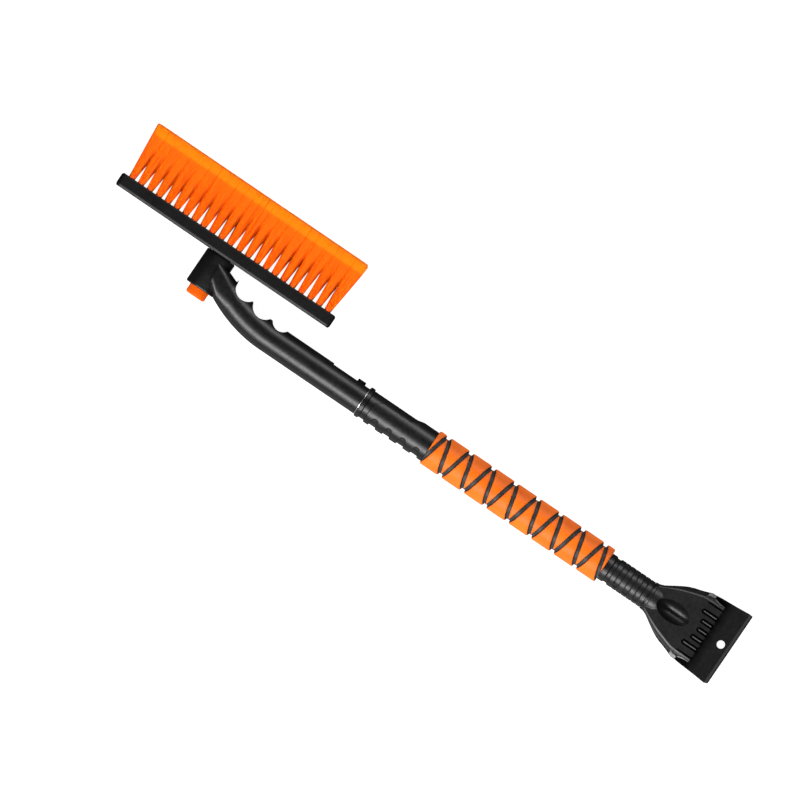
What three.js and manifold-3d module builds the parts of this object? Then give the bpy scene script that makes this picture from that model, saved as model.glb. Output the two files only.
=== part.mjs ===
// Snow brush scraper, in millimetres, lying on its side. +X runs along the handle from the brush to
// the blade, the bristles point to +Y, and +Z is up from the table.
// Every piece is drawn about the handle's axis (y = 0, z = 0) and set down on the table at the end.
import * as THREE from "three";
import { mergeVertices } from "three/addons/utils/BufferGeometryUtils.js";
import Module from "manifold-3d";

const wasm = await Module();
wasm.setup();

// ---------- driving dimensions ----------
const halfLength = 350; // the whole tool is 700 long
const clearance = 0.3; // between pieces that touch in the real tool
const restHeight = 17.5; // the handle's axis above the table

// brush block and bristles
const blockRight = -116;
const blockBack = 37.1; // height of the block's back above the handle's axis
const blockThick = 12.7;
const blockDepth = 35;
const blockFront = blockBack + blockThick;
const tuftCount = 23;
const tuftPitch = 9.76;
const tuftFirst = -340.5;
const tuftWidth = 6.4;
const bristleLength = 55;
const bristleTip = blockFront + bristleLength;
const tuftsMeet = blockFront + 17; // the fanned tufts close up this far out
const rowCount = 4;
const rowPitch = 8.6;

// swivel under the block
const swivelX = -233;
const housingRadius = 14.75;
const housingFoot = 1.1;
const housingTop = blockBack - clearance;
const cavityRadius = 12.4;
const bearingRadius = 10.3;
const bearingFoot = 30.7;
const stemRadius = 10;
const stemFoot = 16;
const stemFlat = 8.8; // from the swivel's axis to each of the four locking flats
const buttonRadius = 9.75;
const buttonFoot = -7.4;

// handle: curved neck and upper tube
const tubeRadius = 14;
const neckRise = 15; // how far the neck climbs from the tube to the housing
const neckStart = housingRadius + swivelX;
const upperEnd = -53.9;
const socketRadius = 11.5;
const socketDeep = -110;

// lower handle
const coreRadius = 11.2;
const coreBore = 9.2;
const coreStart = -106;
const coreEnd = 268;
const snapX = -63.4;
const snapRadius = 4.1;
const snapTop = 15.4;
const collarStart = -53.4;
const collarEnd = -48.6;
const gripStart = -48.3;
const gripEnd = 20.6;
const gripRadius = 13.8;
const padRadius = 15.3;
const foamStart = 20.9;
const foamEnd = 212.9;
const foamRadius = 17.5;
const groovePitch = 24.6;
const grooveWidth = 3.4;
const grooveDepth = 3;

// scraper
const ribbedStart = 213.2;
const ribbedRadius = 13.4;
const headStart = 261.2;
const headFront = 324.2;
const bladeThick = 3;
const bladeHalfWidth = 37.5;
const tangHalfWidth = 27.5; // the part of the blade inside the head
const bladeShoulder = 311.7; // the blade shows beside the head from here on
const hangHoleX = 340;
const hangHoleRadius = 3.75;

// ---------- shared shape helpers ----------
const v3 = (x, y, z) => new THREE.Vector3(x, y, z);

// A closed three.js geometry as a solid, turned outside out when its profile ran the other way.
function solid(geometry) {
  const bare = new THREE.BufferGeometry();
  bare.setAttribute("position", geometry.getAttribute("position"));
  if (geometry.index) bare.setIndex(geometry.index);
  const merged = mergeVertices(bare, 1e-3);
  const triangles = [];
  const index = merged.index.array;
  for (let i = 0; i < index.length; i += 3) {
    const [a, b, c] = index.slice(i, i + 3);
    if (a !== b && b !== c && a !== c) triangles.push(a, b, c);
  }
  const build = (triVerts) =>
    new wasm.Manifold(
      new wasm.Mesh({
        numProp: 3,
        vertProperties: merged.attributes.position.array,
        triVerts: new Uint32Array(triVerts),
      }),
    );
  const made = build(triangles);
  if (made.volume() > 0) return made;
  const turned = [];
  for (let i = 0; i < triangles.length; i += 3) {
    turned.push(triangles[i], triangles[i + 2], triangles[i + 1]);
  }
  return build(turned);
}

function box(x0, x1, y0, y1, z0, z1) {
  const geometry = new THREE.BoxGeometry(x1 - x0, y1 - y0, z1 - z0);
  geometry.translate((x0 + x1) / 2, (y0 + y1) / 2, (z0 + z1) / 2);
  return solid(geometry);
}

// Turned pieces: each profile is a list of [station along the axis, radius].
function turned(profile, segments) {
  const points = profile.map(([along, radius]) => new THREE.Vector2(radius, along));
  return new THREE.LatheGeometry(points, segments);
}

function turnedX(profile, segments = 32) {
  return solid(turned(profile, segments).rotateZ(-Math.PI / 2));
}

function turnedY(profile, x = 0, z = 0, segments = 32) {
  return solid(turned(profile, segments).translate(x, 0, z));
}

function turnedZ(profile, x, y, segments = 24) {
  return solid(turned(profile, segments).rotateX(-Math.PI / 2).translate(x, y, 0));
}

const rod = (from, to, radius) => [
  [from, 0],
  [from, radius],
  [to, radius],
  [to, 0],
];

const ring = (from, to, inner, outer) => [
  [from, inner],
  [from, outer],
  [to, outer],
  [to, inner],
  [from, inner],
];

// A ring whose outer edges are rounded off by the given amount.
const softRing = (from, to, inner, outer, edge) => [
  [from, inner],
  [from, outer - edge],
  [from + edge * 0.3, outer - edge * 0.3],
  [from + edge, outer],
  [to - edge, outer],
  [to - edge * 0.3, outer - edge * 0.3],
  [to, outer - edge],
  [to, inner],
  [from, inner],
];

// A closed skin through rings of equally many points, capped flat at both ends.
function loft(rings) {
  const count = rings[0].length;
  const points = rings.flat();
  const faces = [];
  for (let r = 0; r + 1 < rings.length; r++) {
    for (let i = 0; i < count; i++) {
      const a = r * count + i;
      const b = r * count + ((i + 1) % count);
      faces.push(a, b, b + count, a, b + count, a + count);
    }
  }
  for (const [last, flip] of [[0, true], [rings.length - 1, false]]) {
    const middle = new THREE.Vector3();
    rings[last].forEach((p) => middle.addScaledVector(p, 1 / count));
    points.push(middle);
    for (let i = 0; i < count; i++) {
      const a = last * count + i;
      const b = last * count + ((i + 1) % count);
      faces.push(points.length - 1, flip ? b : a, flip ? a : b);
    }
  }
  const geometry = new THREE.BufferGeometry().setFromPoints(points);
  geometry.setIndex(faces);
  return solid(geometry);
}

// A flat outline in the XY plane, given a thickness along Z.
function plate(outline, z0, z1) {
  const shape = new THREE.Shape(outline.map(([x, y]) => new THREE.Vector2(x, y)));
  const geometry = new THREE.ExtrudeGeometry(shape, { depth: z1 - z0, bevelEnabled: false });
  return geometry.translate(0, 0, z0);
}

// A wire of round section along a list of points.
function wire(points, radius, sides, steps) {
  const path = new THREE.CatmullRomCurve3(points);
  const section = new THREE.Shape();
  section.absarc(0, 0, radius, 0, Math.PI * 2);
  const options = { extrudePath: path, steps, bevelEnabled: false, curveSegments: sides };
  return solid(new THREE.ExtrudeGeometry(section, options));
}

const group = new THREE.Group();
group.name = "snow_brush_scraper";

function addPiece(name, made, color, roughness, metalness = 0) {
  const mesh = made.getMesh();
  const step = mesh.numProp;
  const positions = new Float32Array(mesh.numVert * 3);
  for (let i = 0; i < mesh.numVert; i++) {
    positions.set(mesh.vertProperties.subarray(i * step, i * step + 3), i * 3);
  }
  const geometry = new THREE.BufferGeometry();
  geometry.setAttribute("position", new THREE.BufferAttribute(positions, 3));
  geometry.setIndex(new THREE.BufferAttribute(mesh.triVerts, 1));
  geometry.translate(0, -(bristleTip - bladeHalfWidth) / 2, restHeight);
  geometry.computeVertexNormals();
  const material = new THREE.MeshStandardMaterial({ color, roughness, metalness });
  const piece = new THREE.Mesh(geometry, material);
  piece.name = name;
  group.add(piece);
}

const black = 0x1b1b1c;
const softBlack = 0x262627;
const orange = 0xff7a1c;
const bristleOrange = 0xff6a0d;
const steel = 0xb9bcc0;

// ---------- brush block ----------
// The edges all round are softened; the back has a square pocket that keys the swivel stem.
function brushBlock() {
  const corner = 5;
  const edge = 1.5;
  const left = -halfLength;
  const half = blockDepth / 2;
  const plan = new THREE.Shape();
  plan.moveTo(left + corner, -half);
  plan.lineTo(blockRight - corner, -half);
  plan.absarc(blockRight - corner, -half + corner, corner, -Math.PI / 2, 0);
  plan.absarc(blockRight - corner, half - corner, corner, 0, Math.PI / 2);
  plan.absarc(left + corner, half - corner, corner, Math.PI / 2, Math.PI);
  plan.absarc(left + corner, -half + corner, corner, Math.PI, Math.PI * 1.5);
  const geometry = new THREE.ExtrudeGeometry(plan, {
    depth: blockThick - 2 * edge,
    bevelThickness: edge,
    bevelSize: edge,
    bevelOffset: -edge,
    bevelSegments: 2,
    curveSegments: 4,
  });
  geometry.translate(0, 0, blockBack + edge).rotateX(-Math.PI / 2);
  const pocketHalf = 10.4;
  const pocket = box(
    swivelX - pocketHalf,
    swivelX + pocketHalf,
    blockBack - 1,
    blockBack + 3,
    -pocketHalf,
    pocketHalf,
  );
  const screwHole = turnedY(rod(blockBack, blockBack + 10.5, 2.2), swivelX, 0, 16);
  return solid(geometry).subtract(pocket).subtract(screwHole);
}
addPiece("brush_block", brushBlock(), softBlack, 0.6);

// ---------- bristles ----------
// Each row is a comb: separate tufts at the block that fan out and close up towards the tips.
function bristleRow(row) {
  const foot = blockFront + clearance;
  const outline = [];
  for (let i = 0; i < tuftCount; i++) {
    const x = tuftFirst + i * tuftPitch;
    outline.push([x - tuftWidth / 2, foot], [x + tuftWidth / 2, foot]);
    if (i + 1 < tuftCount) outline.push([x + tuftPitch / 2, tuftsMeet]);
  }
  const last = tuftFirst + (tuftCount - 1) * tuftPitch;
  outline.push([last + 7.6, bristleTip - 2], [last + 6.4, bristleTip]);
  outline.push([tuftFirst - 5.4, bristleTip], [tuftFirst - 6.6, bristleTip - 2]);
  const geometry = plate(outline, -1, 1);
  const across = row - (rowCount - 1) / 2;
  const at = geometry.getAttribute("position");
  for (let i = 0; i < at.count; i++) {
    const out = (at.getY(i) - foot) / bristleLength;
    const middle = across * (rowPitch + 0.2 * out);
    const halfThick = 2.6 + 1.4 * out;
    at.setZ(i, middle + at.getZ(i) * halfThick);
  }
  return solid(geometry);
}
for (let row = 0; row < rowCount; row++) {
  addPiece("bristle_row_" + (row + 1), bristleRow(row), bristleOrange, 0.55);
}

// ---------- swivel stem, its screw and its retaining ring ----------
// Four flats at the foot of the stem give the lock a seat at each quarter turn.
function swivelStem() {
  const clipFoot = 28.6;
  const clipTop = 30.4;
  const groove = 8.6;
  const spring = 6.6;
  const body = turnedY(
    [
      [stemFoot, spring],
      [stemFoot, stemRadius],
      [clipFoot, stemRadius],
      [clipFoot, groove],
      [clipTop, groove],
      [clipTop, stemRadius],
      [blockBack + 2.6, stemRadius],
      [blockBack + 2.6, 2.2],
      [27, 2.2],
      [27, spring],
      [stemFoot, spring],
    ],
    swivelX,
  );
  const plateHalf = 10.1;
  const plateFoot = blockBack + clearance;
  const plateTop = blockBack + 2.7;
  const keyPlate = box(
    swivelX - plateHalf,
    swivelX + plateHalf,
    plateFoot,
    plateTop,
    -plateHalf,
    plateHalf,
  ).subtract(turnedY(rod(plateFoot - 1, plateTop + 1, 2.2), swivelX, 0, 16));
  let stem = body.add(keyPlate);
  for (let quarter = 0; quarter < 4; quarter++) {
    const flat = new THREE.BoxGeometry(4, 6.5, 24);
    flat.translate(stemFlat + 2, stemFoot + 2.25, 0);
    flat.rotateY((quarter * Math.PI) / 2).translate(swivelX, 0, 0);
    stem = stem.subtract(solid(flat));
  }
  return stem;
}
addPiece("swivel_stem", swivelStem(), black, 0.5);

const stemScrew = turnedY(
  [
    [24, 0],
    [24, 3],
    [24.6, 4],
    [26.7, 4],
    [26.7, 1.9],
    [46.4, 1.9],
    [47.2, 0.8],
    [47.2, 0],
  ],
  swivelX,
  0,
  20,
).subtract(box(swivelX - 3, swivelX + 3, 23, 25, -0.6, 0.6));
addPiece("stem_screw", stemScrew, steel, 0.35, 1);

const clipGap = box(swivelX + 6, swivelX + 14, 28, 31, -3, 3);
const retainingRing = turnedY(ring(28.9, 30.1, 8.9, 12), swivelX).subtract(clipGap);
addPiece("retaining_ring", retainingRing, steel, 0.35, 1);

// ---------- upper handle: swivel housing, curved neck with finger scallops, socket tube ----------
// The neck climbs along a parabola; its underside starts to climb a little sooner than its top.
// Where it runs into the housing it narrows to a nose that stands proud of the housing's side.
function upperHandle() {
  const steps = 12;
  const around = 32;
  const topEnd = -150;
  const footEnd = -158;
  const rings = [];
  const section = (x) => {
    const climb = (end) => Math.min(1, Math.max(0, (end - x) / (end - neckStart))) ** 2;
    const inside = Math.max(0, neckStart - x);
    const top = tubeRadius + neckRise * climb(topEnd) + 0.25 * inside;
    const foot = -tubeRadius + neckRise * climb(footEnd) + 0.95 * inside;
    const half = (top - foot) / 2;
    const nose = Math.min(1, Math.max(0.1, (x - swivelX + 0.5) / 5));
    const fade = Math.min(1, Math.max(0, (-205 - x) / 17));
    const deep = tubeRadius + 2.8 * nose * fade;
    const points = [];
    for (let i = 0; i < around; i++) {
      const angle = (i / around) * Math.PI * 2;
      const y = (top + foot) / 2 + Math.cos(angle) * half;
      const rise = Math.sin(angle);
      const flank = Math.abs(rise) < 1e-6 ? 0 : Math.sign(rise) * Math.max(0, deep - half);
      points.push(v3(x, y, flank + rise * Math.min(half, deep)));
    }
    return points;
  };
  for (const step of [0, 2, 4.5, 8, 11.5]) {
    rings.push(section(swivelX + step));
  }
  for (let i = 0; i <= steps; i++) {
    rings.push(section(neckStart + (i / steps) * (topEnd - neckStart)));
  }
  rings.push(section(upperEnd));
  const edge = 1;
  const housing = turnedY(
    [
      [housingFoot, 0],
      [housingFoot, housingRadius - edge],
      [housingFoot + edge, housingRadius],
      [housingTop - edge, housingRadius],
      [housingTop, housingRadius - edge],
      [housingTop, 0],
    ],
    swivelX,
    0,
    40,
  );
  let handle = loft(rings).add(housing);
  const fingers = [
    { x: -196, y: 26, radius: 11.7 },
    { x: -174, y: 21.3, radius: 11.7 },
    { x: -153.2, y: 19.2, radius: 9.6 },
  ];
  for (const finger of fingers) {
    const scallop = rod(-20, 20, finger.radius);
    handle = handle.subtract(turnedZ(scallop, finger.x, finger.y, 32));
  }
  const thumbFlat = box(-93.5, upperEnd + 1, tubeRadius - 1.2, 20, -20, 20);
  const cavity = turnedY(rod(0, bearingFoot, cavityRadius), swivelX);
  const bearing = turnedY(rod(bearingFoot - 1, 40, bearingRadius), swivelX);
  const socket = turnedX(rod(socketDeep, upperEnd + 1, socketRadius));
  const hollow = turnedX(rod(-140, socketDeep + 1, socketRadius - 1.5));
  const snapHole = turnedY(rod(6, 20, snapRadius + clearance), snapX, 0, 24);
  for (const cut of [thumbFlat, cavity, bearing, socket, hollow, snapHole]) {
    handle = handle.subtract(cut);
  }
  return handle;
}
addPiece("upper_handle", upperHandle(), black, 0.45);

// ---------- push button, the bush that guides it, its spring and the lock spring ----------
const bushFoot = 1.4;
const bushTop = 4.1;
const guide = ring(bushFoot, bushTop, buttonRadius + clearance, cavityRadius - clearance);
addPiece("button_bush", turnedY(guide, swivelX), black, 0.5);

// A cap with a stop flange and a wedge that spreads the ends of the lock spring.
function pushButton() {
  const edge = 2;
  const flangeFoot = bushTop + clearance;
  const flangeTop = flangeFoot + 2;
  const cap = turnedY(
    [
      [buttonFoot, 0],
      [buttonFoot, buttonRadius - edge],
      [buttonFoot + edge * 0.3, buttonRadius - edge * 0.3],
      [buttonFoot + edge, buttonRadius],
      [flangeFoot, buttonRadius],
      [flangeFoot, 11.8],
      [flangeTop, 11.8],
      [flangeTop, 7],
      [buttonFoot + 2.6, 7],
      [buttonFoot + 2.6, 0],
    ],
    swivelX,
  );
  const wedgeTop = 17.2;
  const outline = [
    [-5.4, flangeTop - 1],
    [5.4, flangeTop - 1],
    [3.4, wedgeTop],
    [-3.4, wedgeTop],
  ];
  const tongue = plate(outline, stemRadius + clearance, 11.8).rotateY(Math.PI / 2);
  const within = turnedY(rod(flangeFoot, wedgeTop + 1, 11.9), swivelX);
  return cap.add(solid(tongue.translate(swivelX, 0, 0)).intersect(within));
}
addPiece("push_button", pushButton(), orange, 0.5);

function coil(foot, top, radius, thick, turns) {
  const points = [];
  const steps = turns * 10;
  for (let i = 0; i <= steps; i++) {
    const angle = (i / steps) * turns * Math.PI * 2;
    const y = foot + thick + (i / steps) * (top - foot - 2 * thick);
    points.push(v3(swivelX + radius * Math.cos(angle), y, radius * Math.sin(angle)));
  }
  return wire(points, thick, 3, steps);
}
addPiece("button_spring", coil(buttonFoot + 2.9, 26.7, 5.4, 0.5, 6), steel, 0.3, 1);

// A sprung wire ring round the stem; its two straight runs lie on opposite flats.
function lockSpring() {
  const level = 18.5;
  const thick = 0.8;
  const bend = 11.2;
  const flat = stemFlat + thick + 0.25;
  const toFlat = Math.asin(flat / bend);
  const points = [];
  const side = (sign) => {
    const run = [];
    for (const part of [0, 0.5, 1]) {
      const angle = 0.45 + part * (toFlat - 0.45);
      run.push(v3(bend * Math.cos(angle), level, sign * bend * Math.sin(angle)));
    }
    run.push(v3(0, level, sign * flat));
    for (const part of [0, 0.34, 0.67]) {
      const angle = Math.PI - toFlat + part * toFlat;
      run.push(v3(bend * Math.cos(angle), level, sign * bend * Math.sin(angle)));
    }
    return run;
  };
  points.push(...side(1), v3(-bend, level, 0), ...side(-1).reverse());
  points.forEach((p) => p.add(v3(swivelX, 0, 0)));
  return wire(points, thick, 4, 40);
}
addPiece("lock_spring", lockSpring(), steel, 0.3, 1);

// ---------- core tube with its snap button ----------
function coreTube() {
  const snapHole = turnedY(rod(4, 20, snapRadius + clearance), snapX, 0, 24);
  const screwHole = turnedZ(rod(4, 20, 1.9), 217, 0, 12);
  return turnedX(ring(coreStart, coreEnd, coreBore, coreRadius))
    .subtract(snapHole)
    .subtract(screwHole);
}
addPiece("core_tube", coreTube(), steel, 0.4, 1);

const snapFlange = 5.4;
const snapButton = turnedY(
  [
    [6, 0],
    [6, snapFlange],
    [7.2, snapFlange],
    [7.2, snapRadius],
    [snapTop - 0.9, snapRadius],
    [snapTop - 0.25, snapRadius - 0.7],
    [snapTop, snapRadius - 1.6],
    [snapTop, 0],
  ],
  snapX,
  0,
  24,
);
addPiece("snap_button", snapButton, steel, 0.35, 1);

// A leaf spring folded to a V: one arm under the button, the other along the tube's far wall.
function snapSpring() {
  const thick = 0.8;
  const outline = [
    [snapX + 6, 5.7],
    [snapX - 14, 5.7 - 1.5],
    [snapX - 27, -2],
    [snapX - 14, -7.6],
    [snapX + 6, -7.6],
    [snapX + 6, -7.6 + thick],
    [snapX - 13.5, -7.6 + thick],
    [snapX - 25, -2],
    [snapX - 13.8, 5.6 - 1.5 - thick],
    [snapX + 6, 5.7 - thick],
  ];
  return solid(plate(outline, -3.5, 3.5));
}
addPiece("snap_spring", snapSpring(), steel, 0.3, 1);

// ---------- collar and lower grip ----------
const sleeveBore = coreRadius + clearance;
const collar = turnedX(softRing(collarStart, collarEnd, sleeveBore, padRadius, 1.2), 40);
addPiece("collar", collar, black, 0.35);

// A raised pad wraps the grip's underside and sides; four oval recesses are let into its belly.
function lowerGrip() {
  const padStart = -43.3;
  const padEdge = 9.4; // height of the pad's upper edge above the axis
  const sideView = [
    [padStart + 0.8, -20],
    [padStart, 0],
    [padStart + 1.6, 5.5],
    [padStart + 4, 8],
    [padStart + 8, padEdge],
    [-7.5, padEdge],
    [-1, 12.6],
    [5.5, 20],
    [gripEnd + 1, 20],
    [gripEnd + 1, -20],
  ];
  const wrap = softRing(padStart, gripEnd, sleeveBore + 0.8, padRadius, 0.6);
  let pad = turnedX(wrap, 40).intersect(solid(plate(sideView, -20, 20)));
  for (let i = 0; i < 4; i++) {
    const oval = turned(rod(-20, -7.4, 1), 24);
    oval.scale(3.4, 1, 13.4).translate(-33.6 + i * 15.2, 0, 0);
    pad = pad.subtract(solid(oval));
  }
  return pad.add(turnedX(ring(gripStart, gripEnd, sleeveBore, gripRadius), 40));
}
addPiece("lower_grip", lowerGrip(), black, 0.5);

// ---------- foam grip ----------
// Two helical grooves of opposite hand cross along the top and the bottom of the sleeve.
function foamGrip() {
  const firstCrossing = 30.4;
  const perTurn = 16;
  const floor = foamRadius - grooveDepth;
  const mouth = foamRadius + 1;
  const helix = (hand) => {
    const rings = [];
    const first = Math.floor(((foamStart - firstCrossing) / groovePitch - 0.15) * perTurn);
    const last = Math.ceil(((foamEnd - firstCrossing) / groovePitch + 0.15) * perTurn);
    for (let i = first; i <= last; i++) {
      const x = firstCrossing + (i / perTurn) * groovePitch;
      const angle = (hand * i * Math.PI * 2) / perTurn;
      const at = (shift, radius) =>
        v3(x + shift, radius * Math.cos(angle), radius * Math.sin(angle));
      const wide = grooveWidth / 2;
      rings.push([at(-wide * 0.6, floor), at(wide * 0.6, floor), at(wide, mouth), at(-wide, mouth)]);
    }
    return loft(rings);
  };
  return turnedX(softRing(foamStart, foamEnd, sleeveBore, foamRadius, 1.5), 32)
    .subtract(helix(1))
    .subtract(helix(-1));
}
addPiece("foam_grip", foamGrip(), orange, 0.85);

// ---------- scraper head ----------
// The ribbed neck sleeves the core tube; the head flares from it to the blade's seat.
// Each station: x, half width at the parting line, half width of the face, half thickness.
const headStations = [
  [headStart, 14.3, 14.3, 14.3],
  [263.7, 14.3, 14.3, 14.3],
  [264.6, 14.6, 14.1, 13.8],
  [268, 16.1, 14.4, 13],
  [271.5, 18.4, 15.6, 12],
  [277, 21.7, 18.2, 11.1],
  [282.5, 25, 20.2, 10.9],
  [287, 27.3, 22, 10.7],
  [292, 29.2, 24, 10.3],
  [297, 30.5, 25.4, 9.8],
  [303, 32.3, 26.9, 8.8],
  [308, 34.2, 28.5, 8],
  [312.4, 34.3, 29, 7.4],
  [313.3, 31.8, 29.2, 7.2],
  [316, 31.1, 29.2, 6.8],
  [320, 30.3, 29.2, 6.2],
  [headFront, 29.8, 28.8, 5.6],
  [headFront + 1.7, 29.4, 28.4, 2.6],
];

// Sections pass from round at the neck to a flat plate with sloping sides at the front.
function headSection([x, wide, face, thick], around = 32) {
  const flatness = Math.min(1, (x - headStart) / 22);
  const points = [];
  for (let i = 0; i < around; i++) {
    const angle = ((i + 0.5) / around) * Math.PI * 2;
    const y = wide * Math.cos(angle);
    const z = thick * Math.sin(angle);
    const side = Math.abs(y) / wide;
    const top = Math.abs(z) / thick;
    const slope = (Math.abs(y) + (wide - face) * top * 0.95) / wide;
    const reach = 1 / Math.max(side, top, slope);
    const scale = 1 + flatness * (reach - 1);
    points.push(v3(x, y * scale, z * scale));
  }
  return points;
}

function ribbedNeck() {
  const windows = [230.7, 241.5, 252.3];
  const windowHalf = 2.6;
  const sunk = ribbedRadius - 1.1;
  const profile = [[ribbedStart, sleeveBore]];
  profile.push([ribbedStart, ribbedRadius], [217.6, ribbedRadius]);
  profile.push([219.4, sunk], [221.9, sunk], [223.6, ribbedRadius]);
  for (const window of windows) {
    for (const x of [window - windowHalf, window + windowHalf]) {
      profile.push([x - 0.5, ribbedRadius], [x, ribbedRadius - 0.6], [x + 0.5, ribbedRadius]);
    }
  }
  profile.push([259.6, ribbedRadius], [260.2, sunk], [headStart + 0.5, sunk]);
  profile.push([headStart + 0.5, sleeveBore], [ribbedStart, sleeveBore]);
  let neck = turnedX(profile, 28);
  for (const window of windows) {
    const band = turnedX(ring(window - windowHalf, window + windowHalf, sunk, 15), 28);
    const sides = box(window - 5, window + 5, -11.2, 11.2, -20, 20);
    neck = neck.subtract(band.intersect(sides));
  }
  return neck;
}

const bladeScrewX = 306;
const bladeScrewY = 16;

// A channel along the top face, cut to an even depth below the sloping face.
function faceChannel(start, y, half, deep) {
  const side = [
    [start, 7.6 - deep],
    [headFront + 3, 5.1 - deep],
    [headFront + 3, 20],
    [start, 20],
  ];
  return solid(plate(side, -half, half).rotateX(Math.PI / 2).translate(0, y, 0));
}

function scraperHead() {
  let head = loft(headStations.map((station) => headSection(station)));
  head = head.subtract(turnedX(rod(headStart - 1, coreEnd + clearance, sleeveBore), 28));
  head = head.add(ribbedNeck());
  const dish = new THREE.SphereGeometry(1, 20, 12);
  dish.scale(17.5, 10.2, 10.4).translate(287.8, 0, 12.5);
  head = head.subtract(solid(dish));
  for (let i = -2; i <= 2; i++) {
    const start = [313.7, 312.4, 308.3][Math.abs(i)];
    const y = i * 8.35;
    head = head.subtract(faceChannel(start, y, 2.5, 2.8));
    head = head.add(box(start + 1.8, headFront + 1, y - 0.9, y + 0.9, 2.3, 5));
  }
  const slotHalf = bladeThick / 2 + clearance;
  const slotWide = tangHalfWidth + clearance;
  head = head.subtract(box(299.7, headFront + 3, -slotWide, slotWide, -slotHalf, slotHalf));
  head = head.subtract(box(bladeShoulder, headFront + 3, -40, 40, -slotHalf, slotHalf));
  for (const side of [-1, 1]) {
    const y = side * bladeScrewY;
    head = head.subtract(turnedZ(rod(-5, 10, 2.2), bladeScrewX, y, 16));
    head = head.subtract(turnedZ(rod(5.5, 12, 3.9), bladeScrewX, y, 20));
  }
  head = head.subtract(turnedZ(rod(5, 20, 1.9), 217, 0, 12));
  return head.subtract(turnedZ(rod(12.1, 20, 3.3), 217, 0, 20));
}
addPiece("scraper_head", scraperHead(), black, 0.4);

// ---------- blade ----------
function blade() {
  const shoulder = bladeShoulder + clearance;
  const half = [
    [300, tangHalfWidth],
    [shoulder, tangHalfWidth],
    [shoulder, 34.7],
    [318, 35.4],
    [334, 36.4],
    [346, bladeHalfWidth],
    [halfLength, 36.2],
  ];
  const mirrored = half.map(([x, y]) => [x, -y]).reverse();
  const shape = solid(plate([...half, ...mirrored], -bladeThick / 2, bladeThick / 2));
  const bevel = plate(
    [
      [346.4, bladeThick / 2],
      [halfLength + 2, bladeThick / 2],
      [halfLength + 2, -1.6],
    ],
    -60,
    60,
  ).rotateX(Math.PI / 2);
  let made = shape.subtract(solid(bevel));
  made = made.subtract(turnedZ(rod(-5, 5, hangHoleRadius), hangHoleX, 0, 28));
  for (const side of [-1, 1]) {
    made = made.subtract(turnedZ(rod(-5, 5, 2.2), bladeScrewX, side * bladeScrewY, 16));
  }
  return made;
}
addPiece("blade", blade(), softBlack, 0.3);

// ---------- screws on the underside ----------
// Each screw points up from the underside: the profile runs down from its tip to its head.
function screwBelow(x, y, tip, seat, foot, shank, head) {
  const profile = [
    [-tip, 0],
    [-tip, shank],
    [seat, shank],
    [seat, head],
    [foot - 0.3, head],
    [foot, head - 0.3],
    [foot, 0],
  ];
  const slot = box(x - head * 0.7, x + head * 0.7, y - 0.5, y + 0.5, -foot - 1, -foot + 0.8);
  return turnedZ(profile, x, y, 20).subtract(slot);
}
for (const [name, side] of [["blade_screw_1", 1], ["blade_screw_2", -1]]) {
  const screw = screwBelow(bladeScrewX, side * bladeScrewY, 4.6, 5.8, 7.2, 1.9, 3.6);
  addPiece(name, screw, steel, 0.35, 1);
}
addPiece("neck_screw", screwBelow(217, 0, -7, 12.4, 13.3, 1.6, 3), steel, 0.35, 1);

export default group;
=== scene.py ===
import math

import bmesh
import bpy
import numpy as np
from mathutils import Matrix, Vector


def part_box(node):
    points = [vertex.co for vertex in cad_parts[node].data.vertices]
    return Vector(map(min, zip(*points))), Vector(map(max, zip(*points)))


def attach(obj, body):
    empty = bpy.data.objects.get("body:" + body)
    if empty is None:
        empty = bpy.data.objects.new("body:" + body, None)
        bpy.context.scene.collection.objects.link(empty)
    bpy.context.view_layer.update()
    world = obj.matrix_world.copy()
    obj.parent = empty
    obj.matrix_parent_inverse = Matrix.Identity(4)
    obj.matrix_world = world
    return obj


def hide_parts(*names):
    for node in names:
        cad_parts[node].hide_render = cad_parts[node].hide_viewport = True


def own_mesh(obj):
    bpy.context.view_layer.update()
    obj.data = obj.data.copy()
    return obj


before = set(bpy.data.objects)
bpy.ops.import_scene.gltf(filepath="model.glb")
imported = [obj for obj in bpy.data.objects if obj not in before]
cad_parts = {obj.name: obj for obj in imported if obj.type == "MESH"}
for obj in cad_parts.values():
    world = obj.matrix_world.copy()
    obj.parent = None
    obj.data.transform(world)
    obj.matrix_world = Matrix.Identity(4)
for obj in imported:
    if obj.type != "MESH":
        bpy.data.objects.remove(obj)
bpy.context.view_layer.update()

# ---------- where the handle's axis lies ----------
foam_low, foam_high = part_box("foam_grip")
AXIS_Y = (foam_low[1] + foam_high[1]) / 2
AXIS_Z = (foam_low[2] + foam_high[2]) / 2


def place(x, y, z):
    return (x / 1000, AXIS_Y + y / 1000, AXIS_Z + z / 1000)


# ---------- driving dimensions, in millimetres ----------
TUBE_R = 14.0
SWIVEL_X = -233.0
HOUSING_R = 14.75
BLOCK_LEFT, BLOCK_RIGHT = -350.0, -116.0
BLOCK_BACK = 37.1
BLOCK_THICK = 12.7
BLOCK_FRONT = BLOCK_BACK + BLOCK_THICK
BLOCK_HALF_DEPTH = 17.5
TUFTS = 23
TUFT_PITCH = 9.76
TUFT_FIRST = -340.5
TUFT_FOOT_HALF_WIDE, TUFT_FOOT_HALF_DEEP = 2.6, 3.6
TUFT_TIP_HALF_DEEP = 4.95
FAN_POWER = 1.05
ROWS = 4
ROW_PITCH = 8.6
ROW_SPREAD = 0.03
SOCKET_R, SOCKET_DEPTH = 3.45, 5.0
BRISTLE_LENGTH = 55.0
ROOT_DEPTH = 4.5
BRISTLE_FOOT = BLOCK_FRONT - ROOT_DEPTH
TRIM_FROM, TRIM_WIDE, TRIM_DROP = 112.2, 4.5, 2.6
UPPER_END = -53.9
SLEEVE_BORE = 11.5
CORE_R = 11.2
SNAP_X, SNAP_HOLE_R = -63.4, 4.4
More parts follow.
